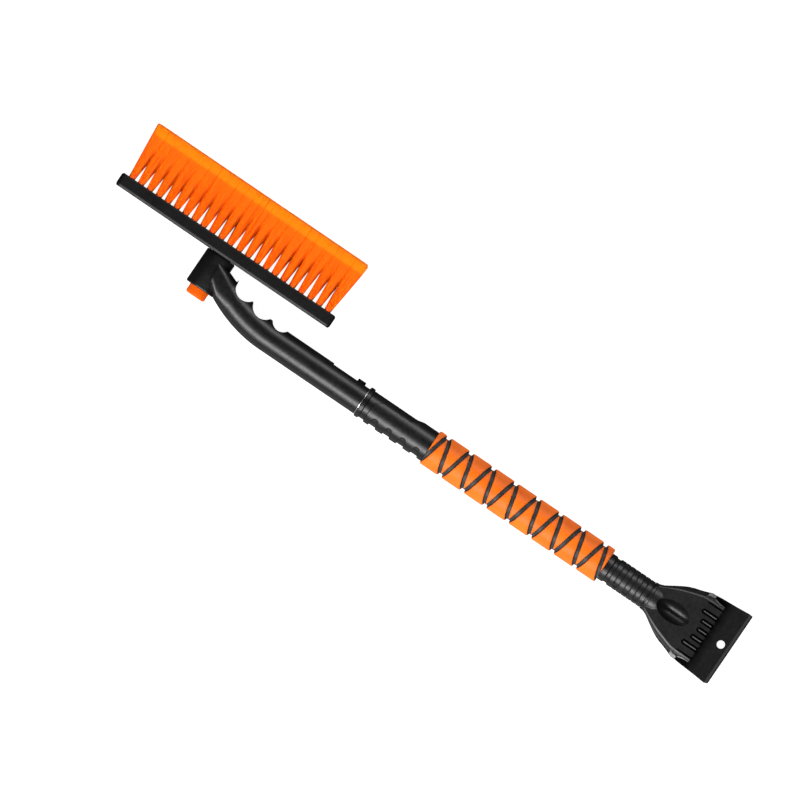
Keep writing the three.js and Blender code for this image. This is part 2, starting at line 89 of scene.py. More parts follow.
FOAM_START, FOAM_END = 20.7, 212.9
FOAM_R = 17.5
GROOVE_PITCH = 24.6
GROOVE_CROSSING = 30.4
NECK_START, NECK_END, NECK_R = 212.95, 261.3, 13.5
HEAD_START, HEAD_FRONT, WALL_FOOT = 260.0, 324.2, 325.9
BLADE_HALF_THICK = 1.5
HANG_HOLE_X, HANG_HOLE_R = 340.0, 3.75

rng = np.random.default_rng(7)


# ---------- mesh helpers ----------
def link_object(name, data):
    """A new object that holds the given data, linked into the scene."""
    obj = bpy.data.objects.new(name, data)
    bpy.context.scene.collection.objects.link(obj)
    return obj


def piece(name, verts, faces, sharp=38):
    """A smooth-shaded object from points in millimetres; edges sharper than the angle stay crisp."""
    mesh = bpy.data.meshes.new(name)
    mesh.from_pydata([place(*v) for v in verts], [], faces)
    work = bmesh.new()
    work.from_mesh(mesh)
    bmesh.ops.remove_doubles(work, verts=work.verts, dist=1e-7)
    bmesh.ops.recalc_face_normals(work, faces=work.faces)
    work.to_mesh(mesh)
    work.free()
    obj = link_object(name, mesh)
    shade(obj, sharp)
    return obj


def shade(obj, sharp=38):
    obj.data.shade_smooth()
    obj.data.set_sharp_from_angle(angle=math.radians(sharp))


def loft(rings):
    """Vertices and faces of a skin through rings of equally many points, capped at both ends."""
    count = len(rings[0])
    verts = [p for ring in rings for p in ring]
    faces = []
    for r in range(len(rings) - 1):
        for i in range(count):
            a = r * count + i
            b = r * count + (i + 1) % count
            faces.append((a, b, b + count, a + count))
    faces.append(tuple(range(count)))
    faces.append(tuple(range(len(verts) - count, len(verts))))
    return verts, faces


def gather(shapes):
    """Several shapes of (vertices, faces) as one."""
    verts, faces = [], []
    for more, sides in shapes:
        faces += [tuple(i + len(verts) for i in face) for face in sides]
        verts += more
    return verts, faces


def soften(profile, radius, steps=3):
    """A closed profile with each corner rounded off by about the given radius."""
    out = []
    for i, point in enumerate(profile):
        before = Vector(profile[i - 1])
        here = Vector(point)
        after = Vector(profile[(i + 1) % len(profile)])
        into = min(radius, (here - before).length * 0.45)
        onward = min(radius, (after - here).length * 0.45)
        start = here + (before - here).normalized() * into
        end = here + (after - here).normalized() * onward
        for k in range(steps + 1):
            t = k / steps
            out.append(tuple(start * (1 - t) ** 2 + here * 2 * t * (1 - t) + end * t**2))
    return out


def on_axis(axis, centre, along, c, s):
    """The point that lies (c, s) off an axis line through the centre, at a place along the line."""
    first, second = centre[0] + c, centre[1] + s
    if axis == "x":
        return (along, first, second)
    if axis == "y":
        return (first, along, second)
    return (first, second, along)


def turned(profile, axis, centre, radius, around):
    """A closed profile of (along, radius), its corners rounded, turned about an axis line."""
    loop = soften(profile, radius)
    verts = []
    for i in range(around):
        angle = 2 * math.pi * i / around
        c, s = math.cos(angle), math.sin(angle)
        for along, r in loop:
            verts.append(on_axis(axis, centre, along, r * c, r * s))
    count = len(loop)
    faces = []
    for i in range(around):
        for k in range(count):
            a = i * count + k
            b = i * count + (k + 1) % count
            c = ((i + 1) % around) * count + (k + 1) % count
            d = ((i + 1) % around) * count + k
            faces.append((a, b, c, d))
    return verts, faces


def ring_profile(start, end, inner, outer):
    return [(start, inner), (start, outer), (end, outer), (end, inner)]


def rod(start, end, radius, axis, centre, around):
    """A plain solid rod, used only to cut with."""
    rings = []
    for along in (start, end):
        ring = []
        for i in range(around):
            angle = 2 * math.pi * i / around
            c, s = radius * math.cos(angle), radius * math.sin(angle)
            ring.append(on_axis(axis, centre, along, c, s))
        rings.append(ring)
    return loft(rings)


def block(x0, x1, y0, y1, z0, z1):
    """A plain box, used only to cut with."""
    low = [(x0, y0, z0), (x1, y0, z0), (x1, y1, z0), (x0, y1, z0)]
    high = [(x, y, z1) for x, y, z in low]
    return loft([low, high])


def boolean(obj, shape, operation):
    """Joins or cuts a shape of (vertices, faces) into the object's own mesh."""
    other = piece("tool_shape", *shape)
    modifier = obj.modifiers.new("boolean", "BOOLEAN")
    modifier.object = other
    modifier.operation = operation
    modifier.solver = "EXACT"
    depsgraph = bpy.context.evaluated_depsgraph_get()
    made = bpy.data.meshes.new_from_object(obj.evaluated_get(depsgraph))
    obj.modifiers.clear()
    old = obj.data
    obj.data = made
    made.name = obj.name
    bpy.data.meshes.remove(old)
    bpy.data.objects.remove(other)
    shade(obj)


def smoothstep(edge0, edge1, x):
    t = np.clip((x - edge0) / (edge1 - edge0), 0.0, 1.0)
    return t * t * (3 - 2 * t)


def sleeve(name, start, end, bore, surface, along, around):
    """A tube whose outside follows surface(x, angle); angle 0 points to +Y, 90 degrees to +Z."""
    xs = np.linspace(start, end, along)
    angles = np.linspace(0, 2 * np.pi, around, endpoint=False)
    grid_x, grid_a = np.meshgrid(xs, angles, indexing="ij")
    radius = surface(grid_x, grid_a)
    rings = []
    for i, x in enumerate(xs):
        ring = [
            (x, radius[i, j] * math.cos(a), radius[i, j] * math.sin(a))
            for j, a in enumerate(angles)
        ]
        rings.append(ring)
    for x in (end, start):
        rings.append([(x, bore * math.cos(a), bore * math.sin(a)) for a in angles])
    verts = [p for ring in rings for p in ring]
    faces = []
    for r in range(len(rings)):
        for i in range(around):
            a = r * around + i
            b = r * around + (i + 1) % around
            shift = around if r + 1 < len(rings) else -r * around
            faces.append((a, b, b + shift, a + shift))
    return piece(name, verts, faces, sharp=50)


# ---------- material helpers ----------
def material(name):
    made = bpy.data.materials.new(name)
    made.use_nodes = True
    nodes = made.node_tree.nodes
    return made, nodes, made.node_tree.links, nodes["Principled BSDF"]


def position(nodes, links):
    """The object's own coordinates, as one output and split into X, Y and Z."""
    coords = nodes.new("ShaderNodeTexCoord").outputs["Object"]
    split = nodes.new("ShaderNodeSeparateXYZ")
    links.new(coords, split.inputs["Vector"])
    return coords, split.outputs


def calculate(nodes, links, operation, first, second=None):
    """The result of a math node, whose inputs are numbers or other nodes' outputs."""
    made = nodes.new("ShaderNodeMath")
    made.operation = operation
    for socket, value in zip(made.inputs, (first, second)):
        if isinstance(value, float):
            socket.default_value = value
        elif value is not None:
            links.new(value, socket)
    return made.outputs["Value"]


def attribute(nodes, name):
    made = nodes.new("ShaderNodeAttribute")
    made.attribute_name = name
    return made.outputs["Fac"]


def noise(nodes, links, coords, size_mm, detail):
    made = nodes.new("ShaderNodeTexNoise")
    made.inputs["Scale"].default_value = 1000.0 / size_mm
    made.inputs["Detail"].default_value = detail
    links.new(coords, made.inputs["Vector"])
    return made.outputs["Fac"]


def spread(nodes, links, value, low, high, start=0.3, end=0.7):
    """The value carried over from the range start to end onto the range low to high."""
    made = nodes.new("ShaderNodeMapRange")
    made.inputs["From Min"].default_value = start
    made.inputs["From Max"].default_value = end
    made.inputs["To Min"].default_value = low
    made.inputs["To Max"].default_value = high
    links.new(value, made.inputs["Value"])
    return made.outputs["Result"]


def mix(nodes, links, factor, first, second):
    """A blend of two colours, each a tuple or another node's output."""
    made = nodes.new("ShaderNodeMix")
    made.data_type = "RGBA"
    links.new(factor, made.inputs["Factor"])
    for socket, value in (("A", first), ("B", second)):
        target = [s for s in made.inputs if s.name == socket and s.type == "RGBA"][0]
        if isinstance(value, tuple):
            target.default_value = (*value, 1.0)
        else:
            links.new(value, target)
    return [s for s in made.outputs if s.type == "RGBA"][0]


def bump(nodes, links, height, strength, depth_mm):
    made = nodes.new("ShaderNodeBump")
    made.inputs["Strength"].default_value = strength
    made.inputs["Distance"].default_value = depth_mm / 1000
    links.new(height, made.inputs["Height"])
    return made.outputs["Normal"]


def moulded(name, colour, rough, grain_mm=0.5, grain_depth=0.03, worn=0.5, specular=0.5):
    """Moulded plastic: fine mould grain, patchy gloss and edges rubbed a little lighter."""
    made, nodes, links, shader = material(name)
    coords = nodes.new("ShaderNodeTexCoord").outputs["Object"]
    patches = noise(nodes, links, coords, 18.0, 3.0)
    grain = noise(nodes, links, coords, grain_mm, 2.0)
    scuffs = noise(nodes, links, coords, 2.2, 6.0)
    light = tuple(min(1.0, c * 1.25 + 0.002) for c in colour)
    dark = tuple(c * 0.85 for c in colour)
    base = mix(nodes, links, spread(nodes, links, patches, 0, 1), dark, light)
    edges = nodes.new("ShaderNodeNewGeometry").outputs["Pointiness"]
    rubbed = spread(nodes, links, edges, 0.0, worn, 0.56, 0.68)
    edge_colour = tuple(min(1.0, c * 1.6 + 0.006) for c in colour)
    links.new(mix(nodes, links, rubbed, base, edge_colour), shader.inputs["Base Color"])
    links.new(spread(nodes, links, scuffs, rough - 0.05, rough + 0.07), shader.inputs["Roughness"])
    links.new(bump(nodes, links, grain, 0.5, grain_depth), shader.inputs["Normal"])
    shader.inputs["Specular IOR Level"].default_value = specular
    return made


def rub_wing_tips(made):
    """Polishes the scraper head's plastic at its two outer front corners, where hands rub it."""
    nodes, links = made.node_tree.nodes, made.node_tree.links
    parts = position(nodes, links)[1]
    sideways = calculate(nodes, links, "SUBTRACT", parts["Y"], AXIS_Y)
    sideways = calculate(nodes, links, "ABSOLUTE", sideways)
    out = spread(nodes, links, sideways, 0, 1, 0.0292, 0.0302)
    ahead = spread(nodes, links, parts["X"], 0, 1, 0.3045, 0.3055)
    tips = calculate(nodes, links, "MULTIPLY", out, ahead)
    gloss = spread(nodes, links, tips, 0.38, 0.62, 0, 1)
    links.new(gloss, nodes["Principled BSDF"].inputs["Specular IOR Level"])
    return made


def blade_material():
    """The blade's plastic: painted shadow makes it darker and duller under and just in front of the head,
    and it is paler along a narrow strip of its front bevel.
    """
    made, nodes, links, shader = material("blade_black")
    coords, parts = position(nodes, links)
    scuffs = noise(nodes, links, coords, 3.0, 5.0)
    # painted shadow: 0 under and just in front of the head, rising to 1 ten millimetres further forward
    clear = spread(nodes, links, parts["X"], 0, 1, 0.324, 0.334)
    # a paler strip along the front bevel, ending just short of the edge
    rubbed = spread(nodes, links, parts["X"], 0, 1, 0.3462, 0.3468)
    edge = spread(nodes, links, parts["X"], 1, 0, 0.3486, 0.3492)
    strip = calculate(nodes, links, "MULTIPLY", rubbed, edge)
    # the base colour, with the painted shadow darkening it next to the head
    plain = mix(nodes, links, clear, (0.0008, 0.0008, 0.0008), (0.004, 0.004, 0.0041))
    base = mix(nodes, links, strip, plain, (0.03, 0.03, 0.031))
    links.new(base, shader.inputs["Base Color"])
    links.new(spread(nodes, links, scuffs, 0.31, 0.41), shader.inputs["Roughness"])
    # the painted shadow also lowers the gloss next to the head
    links.new(spread(nodes, links, clear, 0.08, 0.33, 0, 1), shader.inputs["Specular IOR Level"])
    links.new(bump(nodes, links, scuffs, 0.4, 0.015), shader.inputs["Normal"])
    return made


def foam_material():
    """Orange foam skin, dark where the grooves cut through it, with fine closed cells."""
    made, nodes, links, shader = material("orange_foam")
    coords, parts = position(nodes, links)
    flat = nodes.new("ShaderNodeCombineXYZ")
    for axis, centre in (("Y", AXIS_Y), ("Z", AXIS_Z)):
        off = calculate(nodes, links, "SUBTRACT", parts[axis], centre)
        links.new(off, flat.inputs[axis])
    reach = nodes.new("ShaderNodeVectorMath")
    reach.operation = "LENGTH"
    links.new(flat.outputs["Vector"], reach.inputs[0])
    skin = (FOAM_R - 0.95) / 1000
    depth = spread(nodes, links, reach.outputs["Value"], 0, 1, skin - 0.0004, skin)
    patches = noise(nodes, links, coords, 14.0, 3.0)
    patch_share = spread(nodes, links, patches, 0, 1)
    orange = mix(nodes, links, patch_share, (0.67, 0.108, 0.003), (0.74, 0.136, 0.005))
    cells = noise(nodes, links, coords, 0.7, 4.0)
    cell_share = spread(nodes, links, cells, 0, 1)
    core = mix(nodes, links, cell_share, (0.012, 0.012, 0.012), (0.05, 0.05, 0.05))
    links.new(mix(nodes, links, depth, core, orange), shader.inputs["Base Color"])
    links.new(spread(nodes, links, patches, 0.42, 0.52), shader.inputs["Roughness"])
    links.new(bump(nodes, links, cells, 0.35, 0.06), shader.inputs["Normal"])
    shader.inputs["Specular IOR Level"].default_value = 0.18
    return made


def bristle_material():
    """Filaments: deeper orange at the foot, paler at the split tips, each a little different, with painted
    shade darkening the foot colour where tufts meet.
    """
    made, nodes, links, shader = material("orange_bristle")
    strand = attribute(nodes, "strand")
    foot = mix(nodes, links, strand, (0.81, 0.099, 0.0002), (0.88, 0.135, 0.0004))
    # painted shade: the foot colour turns dark red where neighbouring tufts meet
    foot = mix(nodes, links, attribute(nodes, "painted_gap_shade"), foot, (0.3, 0.02, 0.0002))
    tip = mix(nodes, links, strand, (0.84, 0.168, 0.0004), (0.9, 0.214, 0.0008))
    toward_tip = spread(nodes, links, attribute(nodes, "along"), 0, 1, 0.81, 0.845)
    links.new(mix(nodes, links, toward_tip, foot, tip), shader.inputs["Base Color"])
    links.new(spread(nodes, links, strand, 0.38, 0.55, 0, 1), shader.inputs["Roughness"])
    coords = nodes.new("ShaderNodeTexCoord").outputs["Object"]
    crimp = noise(nodes, links, coords, 0.6, 2.0)
    links.new(bump(nodes, links, crimp, 0.2, 0.02), shader.inputs["Normal"])
    shader.inputs["Specular IOR Level"].default_value = 0.12
    shader.inputs["Subsurface Weight"].default_value = 0.7
    shader.inputs["Subsurface Radius"].default_value = (0.003, 0.001, 0.0003)
    return made


def metal(name, colour, rough, stretch):
    """Metal with fine lines, which run along X where stretch is small there."""
    made, nodes, links, shader = material(name)
    coords = nodes.new("ShaderNodeTexCoord").outputs["Object"]
    mapping = nodes.new("ShaderNodeMapping")
    mapping.inputs["Scale"].default_value = stretch
    links.new(coords, mapping.inputs["Vector"])
    lines = noise(nodes, links, mapping.outputs["Vector"], 0.4, 3.0)
    stains = noise(nodes, links, coords, 9.0, 4.0)
    dull = tuple(c * 0.8 for c in colour)
    base = mix(nodes, links, spread(nodes, links, stains, 0, 1), dull, colour)
    links.new(base, shader.inputs["Base Color"])
    links.new(spread(nodes, links, lines, rough - 0.08, rough + 0.1), shader.inputs["Roughness"])
    links.new(bump(nodes, links, lines, 0.3, 0.01), shader.inputs["Normal"])
    shader.inputs["Metallic"].default_value = 1.0
    return made


BLOCK_BLACK = moulded("soft_black_plastic", (0.0026, 0.0026, 0.0027), 0.42, 0.7, 0.03, 0.6, 0.24)
HANDLE_BLACK = moulded("black_plastic", (0.0022, 0.0022, 0.0023), 0.35, 0.5, 0.02, 0.35, 0.4)
GRIP_BLACK = moulded("grip_black", (0.0022, 0.0022, 0.0023), 0.36, 0.45, 0.03, 0.4, 0.42)
HEAD_BLACK = rub_wing_tips(moulded("head_black", (0.0062, 0.0062, 0.0063), 0.36, 0.5, 0.03, 0.5, 0.38))
# painted shade: a darker black for the inside of the thumb dish
DISH_PAINTED_SHADE = moulded("dish_painted_shade", (0.0012, 0.0012, 0.0013), 0.34, 0.5, 0.012, 0.2, 0.34)
BLADE_BLACK = blade_material()
BUTTON_ORANGE = moulded("orange_plastic", (0.7, 0.09, 0.0003), 0.42, 0.5, 0.02, 0.2, 0.08)
FOAM = foam_material()
BRISTLE = bristle_material()
STEEL = metal("steel", (0.55, 0.55, 0.56), 0.32, (1, 1, 1))
SPRING_STEEL = metal("spring_steel", (0.42, 0.42, 0.44), 0.28, (1, 1, 1))
ALUMINIUM = metal("aluminium", (0.72, 0.72, 0.74), 0.36, (0.08, 1, 1))


def finish_piece(obj, look, body, node):
    """Gives a piece its material, and says which body it rides on and which node it stands for."""
    obj.data.materials.clear()
    obj.data.materials.append(look)
    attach(obj, body)
    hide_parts(node)
    return obj


# ---------- brush block ----------
def plan_outline(inset, corner=5.0, steps=6):
    """The block's outline seen from the bristle side, as (x, z) points, pulled in by inset."""
    x0, x1 = BLOCK_LEFT + inset, BLOCK_RIGHT - inset
    half = BLOCK_HALF_DEPTH - inset
    r = corner - inset
    points = []
    for cx, cz, start in (
        (x1 - r, -half + r, -90),
        (x1 - r, half - r, 0),
        (x0 + r, half - r, 90),
        (x0 + r, -half + r, 180),
    ):
        for k in range(steps + 1):
            angle = math.radians(start + 90 * k / steps)
            points.append((cx + r * math.cos(angle), cz + r * math.sin(angle)))
    return points


def row_height(row):
    """How far a row of tufts lies above the handle's axis, at its foot."""
    return (row - (ROWS - 1) / 2) * ROW_PITCH


def tuft_place(tuft):
    """How far along the handle a tuft stands."""
    return TUFT_FIRST + tuft * TUFT_PITCH


def brush_block():
    """A moulded bar with a broad bevel along its back edge and a drilled socket for every tuft."""
    levels = (
        (BLOCK_BACK - 0.25, 1.7),
        (BLOCK_BACK, 1.0),
        (BLOCK_BACK + 0.4, 0.62),
        (BLOCK_BACK + 1.9, 0.1),
        (BLOCK_BACK + 2.2, 0.0),
        (BLOCK_FRONT - 2.0, 0.0),
        (BLOCK_FRONT - 1.2, 0.2),
        (BLOCK_FRONT - 0.5, 0.75),
        (BLOCK_FRONT, 1.7),
    )
    rings = [[(x, y, z) for x, z in plan_outline(inset)] for y, inset in levels]
    obj = piece("brush_block_bar", *loft(rings), sharp=14)
    sockets = []
    for row in range(ROWS):
        for tuft in range(TUFTS):
            middle = (tuft_place(tuft), row_height(row))
            sockets.append(rod(BLOCK_FRONT - SOCKET_DEPTH, BLOCK_FRONT + 2, SOCKET_R, "y", middle, 20))
    boolean(obj, gather(sockets), "DIFFERENCE")
    shade(obj, 14)
    return obj


finish_piece(brush_block(), BLOCK_BLACK, "brush_head", "brush_block")


# ---------- bristles ----------
def tuft_fan(tuft):
    """How far a tuft spreads at its tips, towards -X and towards +X: the first ones spread most."""
    left = 9.4 - 2.1 * tuft / (TUFTS - 1)
    right = left.copy()
    left[tuft == 0] = 8.0
    right[tuft == TUFTS - 1] = 8.6
    return left, right


def gap_shade_paint(x, t):
    """Painted shade: 1 where a tuft's shaded flank meets the next tuft, part of the way up, and 0
    elsewhere.
    """
    place_in_row = (x - TUFT_FIRST) / TUFT_PITCH
    away = np.abs(place_in_row - np.floor(place_in_row) - 0.38) * TUFT_PITCH
    between = (place_in_row > 0) & (place_in_row < TUFTS - 1)
    height = smoothstep(0.16, 0.34, t) * (1 - smoothstep(0.4, 0.72, t))
    return height * between * (1 - smoothstep(0.2, 2.0, away))


def corner_drop(x):
    """How much shorter the bristles are at a place along the row: its two ends are trimmed round."""
    off = np.abs(x - (BLOCK_LEFT + BLOCK_RIGHT) / 2)
    return TRIM_DROP * np.clip((off - TRIM_FROM) / TRIM_WIDE, 0, 1) ** 2


def tuft_core_ring(row, tuft, t, sides):
    """One section of a tuft's packed middle, round at the foot and nearly square at the tips."""
    fan = t**FAN_POWER
    left, right = tuft_fan(np.arange(TUFTS))
    inset = 0.5 if t > 0.98 else 0.0
    deep = 0.86 * (TUFT_FOOT_HALF_DEEP + 1.35 * fan) - inset
    ring = []
    for k in range(sides):
        angle = 2 * math.pi * k / sides
        square = 1 - 0.78 * fan
        c = math.copysign(abs(math.cos(angle)) ** square, math.cos(angle))
        s = math.copysign(abs(math.sin(angle)) ** square, math.sin(angle))
        tip_half_wide = right[tuft] if c > 0 else left[tuft]
        reach = 0.9 * (TUFT_FOOT_HALF_WIDE * (1 - fan) + tip_half_wide * fan)
        outer = (c < 0 and tuft == 0) or (c > 0 and tuft == TUFTS - 1)
        if not outer:
            reach = min(reach, TUFT_PITCH / 2 + 0.6)
        x = tuft_place(tuft) + (reach - inset) * c
        y = BRISTLE_FOOT + (BRISTLE_LENGTH + ROOT_DEPTH) * t - t * corner_drop(x)
        z = row_height(row) * (1 + ROW_SPREAD * fan) + deep * s
        edge = BLOCK_HALF_DEPTH - 0.2
        ring.append((x, y, min(edge, max(-edge, z))))
    return ring


def tuft_cores(row, sides=18):
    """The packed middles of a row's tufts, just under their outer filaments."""
    levels = (0.02, 0.2, 0.35, 0.5, 0.65, 0.8, 0.9, 0.974, 0.988)
    shapes = []
    for tuft in range(TUFTS):
        shapes.append(loft([tuft_core_ring(row, tuft, t, sides) for t in levels]))
    verts, faces = gather(shapes)
    along = np.tile(np.repeat(levels, sides), TUFTS)
    return np.array(verts), along, faces


def filaments(row, per_tuft, sides, levels):
    """Tapered strands, rooted in their tufts' sockets and fanned out towards the tips."""
    count = TUFTS * per_tuft
    tuft = np.repeat(np.arange(TUFTS), per_tuft)
    across = row_height(row)
    turn = rng.uniform(0, 2 * np.pi, count)
    reach = rng.uniform(0, 1, count) ** 0.46
    off_x = reach * np.cos(turn)
    off_z = reach * np.sin(turn)
    centre = tuft_place(tuft)
    left, right = tuft_fan(tuft)
    fan_x = np.where(off_x < 0, left, right)
    tip_x = centre + off_x * fan_x + rng.normal(0, 0.25, count)
    tip_z = across * (1 + ROW_SPREAD) + off_z * TUFT_TIP_HALF_DEEP + rng.normal(0, 0.3, count)
    tip_z = np.clip(tip_z, 0.3 - BLOCK_HALF_DEPTH, BLOCK_HALF_DEPTH - 0.3)
    tip_y = BLOCK_FRONT + BRISTLE_LENGTH + 0.5 - np.abs(rng.normal(0, 0.6, count))
    tip_y -= corner_drop(tip_x)
    sway_x = rng.normal(0, 0.18, count)
    sway_z = rng.normal(0, 0.25, count)
    thick = rng.uniform(0.27, 0.35, count)
    strand = rng.uniform(0, 1, count)
    shade_shift = rng.normal(0, 0.006, count)
    split = rng.normal(0, 0.35, (count, 2))
    verts = np.zeros((count, len(levels), sides, 3))
    along = np.zeros((count, len(levels), sides))
    painted_gap_shade = np.zeros((count, len(levels), sides))
    edge = BLOCK_HALF_DEPTH - 0.05
    for r, t in enumerate(levels):
        fan = t**FAN_POWER
        bow = math.sin(math.pi * t)
        frayed = max(0.0, (t - 0.8) / 0.2)
        x = centre + off_x * TUFT_FOOT_HALF_WIDE * (1 - fan) + (tip_x - centre) * fan
        x = x + sway_x * bow + split[:, 0] * frayed
        z = across + off_z * TUFT_FOOT_HALF_DEEP * (1 - fan) + (tip_z - across) * fan
        z = z + sway_z * bow + split[:, 1] * frayed * 0.5
        radius = thick * (1.0 - 0.15 * t)
        for k in range(sides):
            angle = 2 * math.pi * k / sides
            verts[:, r, k, 0] = x + radius * math.cos(angle)
            verts[:, r, k, 1] = BRISTLE_FOOT + (tip_y - BRISTLE_FOOT) * t
            verts[:, r, k, 2] = np.clip(z + radius * math.sin(angle), -edge, edge)
            along[:, r, k] = t + shade_shift
            # painted shade between the tufts, stored on every strand point
            painted_gap_shade[:, r, k] = 0.9 * gap_shade_paint(x, t)
    strand = np.repeat(strand, len(levels) * sides)
    return verts.reshape(-1, 3), along.reshape(-1), painted_gap_shade.reshape(-1), strand


def filament_faces(count, sides, rings):
    """The walls, then the two end caps, of many strands of three sides each."""
    first = (np.arange(count) * rings * sides)[:, None, None]
    walls = []
    for r in range(rings - 1):
        for k in range(sides):
            a = r * sides + k
            b = r * sides + (k + 1) % sides
            walls.append((a, b, b + sides, a + sides))
    last = (rings - 1) * sides
    ends = [(2, 1, 0), (last, last + 1, last + 2)]
    quads = (first + np.array(walls)[None]).reshape(-1, 4)
    caps = (first + np.array(ends)[None]).reshape(-1, 3)
    return quads.tolist() + caps.tolist()


def bristle_row(row, per_tuft=66, sides=3):
    """One row of tufts: separate filaments round packed cores, with values the material reads."""
    levels = (0.0, 0.16, 0.32, 0.48, 0.66, 0.84, 1.0)
    verts, along, painted_gap_shade, strand = filaments(row, per_tuft, sides, levels)
    core_verts, core_along, core_faces = tuft_cores(row)
    # the same painted shade between the tufts, on the packed cores
    core_painted_gap_shade = 0.9 * gap_shade_paint(core_verts[:, 0], core_along)
    points = np.concatenate([verts, core_verts]) / 1000 + (0, AXIS_Y, AXIS_Z)
    faces = filament_faces(TUFTS * per_tuft, sides, len(levels))
    faces += [tuple(i + len(verts) for i in face) for face in core_faces]
    name = "bristles_" + str(row + 1)
    mesh = bpy.data.meshes.new(name)
    mesh.from_pydata(points.tolist(), [], faces)
    values_by_name = {
        "along": np.concatenate([along, core_along]),
        "painted_gap_shade": np.concatenate([painted_gap_shade, core_painted_gap_shade]),
        "strand": np.concatenate([strand, np.full(len(core_along), 0.5)]),
    }
    for key, values in values_by_name.items():
        stored = mesh.attributes.new(key, "FLOAT", "POINT")
        stored.data.foreach_set("value", values.astype(np.float32))
    mesh.shade_smooth()
    return link_object(name, mesh)


for row in range(ROWS):
    node = "bristle_row_" + str(row + 1)
    finish_piece(bristle_row(row), BRISTLE, "brush_head", node)


# ---------- upper handle ----------
NECK_RISE = 15
# Each finger hollow: the place of its circle's centre along and across the handle, and its radius.
FINGERS = ((-196.0, 26.0, 11.7), (-174.0, 21.3, 11.7), (-153.2, 19.2, 9.6))


def share(start, end, x):
    """How far x has come from start to end, between 0 and 1."""
    return min(1.0, max(0.0, (start - x) / (start - end)))


def finger_scoop(x, top):
    """The neck's upper edge with the finger hollows cut into it."""
    scoop = top
    for centre_x, centre_y, radius in FINGERS:
        off = x - centre_x
        if abs(off) < radius:
            scoop = min(scoop, centre_y - math.sqrt(radius**2 - off**2))
    return scoop


def neck_ring(x, around=96):
    """One section of the neck: it climbs to the housing and is scooped where fingers sit."""
    start = SWIVEL_X + HOUSING_R
    inside = max(0.0, start - x)
    top = TUBE_R + NECK_RISE * share(-150, start, x) ** 1.85 + 0.25 * inside
    foot = -TUBE_R + NECK_RISE * share(-158, start, x) ** 2 + 0.95 * inside
    middle, half = (top + foot) / 2, (top - foot) / 2
    scoop = finger_scoop(x, top)
    power = 2 / (2 + 1.4 * share(-200, -233, x))
    foot_power = 2 / (2 + 1.6 * share(-203, -225, x))
    crest = 4.6 * max(0.0, 1 - abs(x + 207.4) / 0.9)
    nose = float(smoothstep(SWIVEL_X - 1.5, SWIVEL_X + 5, x))
    fade = 1 - float(smoothstep(-222, -205, x))
    deep = TUBE_R + 2.8 * nose * fade
    flank = max(0.0, deep - half)
    points = []
    for i in range(around):
        angle = 2 * math.pi * i / around
        c, s = math.cos(angle), math.sin(angle)
        squared = power if c > 0 else foot_power
        y = middle + half * math.copysign(abs(c) ** squared, c)
        z = math.copysign(flank + (deep - flank) * abs(s) ** squared, s) if abs(s) > 1e-6 else 0.0
        lift = crest * max(0.0, c) ** 6
        points.append((x, min(y, scoop) + lift, z))
    return points


def upper_handle():
    """The curved neck, the swivel housing across its end, and the tube with its socket."""
    stations = list(np.arange(SWIVEL_X, -143.0, 0.6)) + [-140.0, -94.2, -93.4, -60.0, UPPER_END - 0.8]
    rings = [neck_ring(x) for x in stations]
    for bevel, x in ((0.1, UPPER_END - 0.1), (0.35, UPPER_END)):
        size = 1 - bevel / TUBE_R
        rings.append([(x, y * size, z * size) for _, y, z in neck_ring(x)])
    obj = piece("upper_handle_shell", *loft(rings), sharp=34)
    housing = [(1.1, 0.01), (1.1, HOUSING_R), (36.8, HOUSING_R), (36.8, 0.01)]
    boolean(obj, turned(housing, "y", (SWIVEL_X, 0), 1.6, 96), "UNION")
    flat_on_top = block(-93.5, UPPER_END + 1, 12.8, 20, -12, 12)
    button_well = rod(0, 30.7, 12.4, "y", (SWIVEL_X, 0), 64)
    stem_mouth = rod(29.7, 40, 10.3, "y", (SWIVEL_X, 0), 64)
    socket = rod(-110, UPPER_END + 1, SLEEVE_BORE, "x", (0, 0), 64)
    snap_hole = rod(6, 20, SNAP_HOLE_R, "y", (SNAP_X, 0), 40)
    for cut in (flat_on_top, button_well, stem_mouth, socket, snap_hole):
        boolean(obj, cut, "DIFFERENCE")
    shade(obj, 34)
    return obj


finish_piece(upper_handle(), HANDLE_BLACK, "handle", "upper_handle")


# ---------- push button and its spring ----------
def push_button():
    """A cap with a shallow thumb dish, a stop flange, and the wedge that frees the lock spring."""
    profile = [
        (-6.9, 0.01),
        (-7.4, 4.6),
        (-7.4, 9.75),
        (4.4, 9.75),
        (4.4, 11.8),
        (6.4, 11.8),
        (6.4, 7.0),
        (-4.8, 7.0),
        (-4.8, 0.01),
    ]
    obj = piece("push_button_cap", *turned(profile, "y", (SWIVEL_X, 0), 2.3, 80))
    low = [(10.4, 5.6, -5.2), (11.5, 5.6, -4.6), (11.5, 5.6, 4.6), (10.4, 5.6, 5.2)]
    high = [(10.4, 17.1, -3.3), (11.5, 17.1, -2.8), (11.5, 17.1, 2.8), (10.4, 17.1, 3.3)]
    wedge = [[(SWIVEL_X + x, y, z) for x, y, z in ring] for ring in (low, high)]
    boolean(obj, loft(wedge), "UNION")
    return obj


finish_piece(push_button(), BUTTON_ORANGE, "button", "push_button")


def wire(name, points, thick, sides=10):
    """A round wire through the points, with closed ends."""
    rings = []
    for i, point in enumerate(points):
        here = Vector(point)
        ahead = Vector(points[min(i + 1, len(points) - 1)]) - Vector(points[max(i - 1, 0)])
        side = ahead.cross(Vector((0, 1, 0))).normalized()
        up = side.cross(ahead).normalized()
        ring = []
        for k in range(sides):
            angle = 2 * math.pi * k / sides
            ring.append(tuple(here + (side * math.cos(angle) + up * math.sin(angle)) * thick))
        rings.append(ring)
    return piece(name, *loft(rings), sharp=60)


